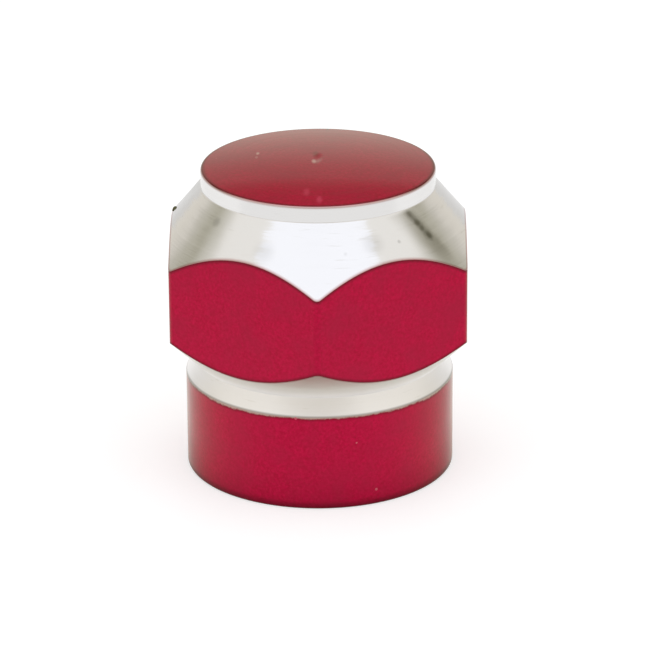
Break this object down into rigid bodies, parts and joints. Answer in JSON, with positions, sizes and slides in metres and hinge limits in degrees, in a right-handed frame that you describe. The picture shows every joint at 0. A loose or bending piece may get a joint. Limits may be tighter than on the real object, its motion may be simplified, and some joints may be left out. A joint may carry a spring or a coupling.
{
  "type": "tyre valve cap",
  "caption": "Hexagonal metal cap that screws onto a tyre's valve stem, with a low domed top, bare turned cone and groove, round skirt, and a sealing washer inside.",
  "frame": {"origin": "centre of the open rim, on the surface that the cap stands on", "axes": "+Z along the cap's axis to the domed end, -Y towards a corner of the hexagon, +X and -X towards flats"},
  "size_m": [0.012, 0.0138, 0.0131],
  "materials": {
    "red_anodised_aluminium": "glossy red anodising, cut through to bright turned metal on the collar, the cone and the groove",
    "black_rubber": "matt black sheet rubber"
  },
  "bodies": {
    "root": {"cap_body": "red_anodised_aluminium", "sealing_washer": "black_rubber"}
  },
  "joints": []
}
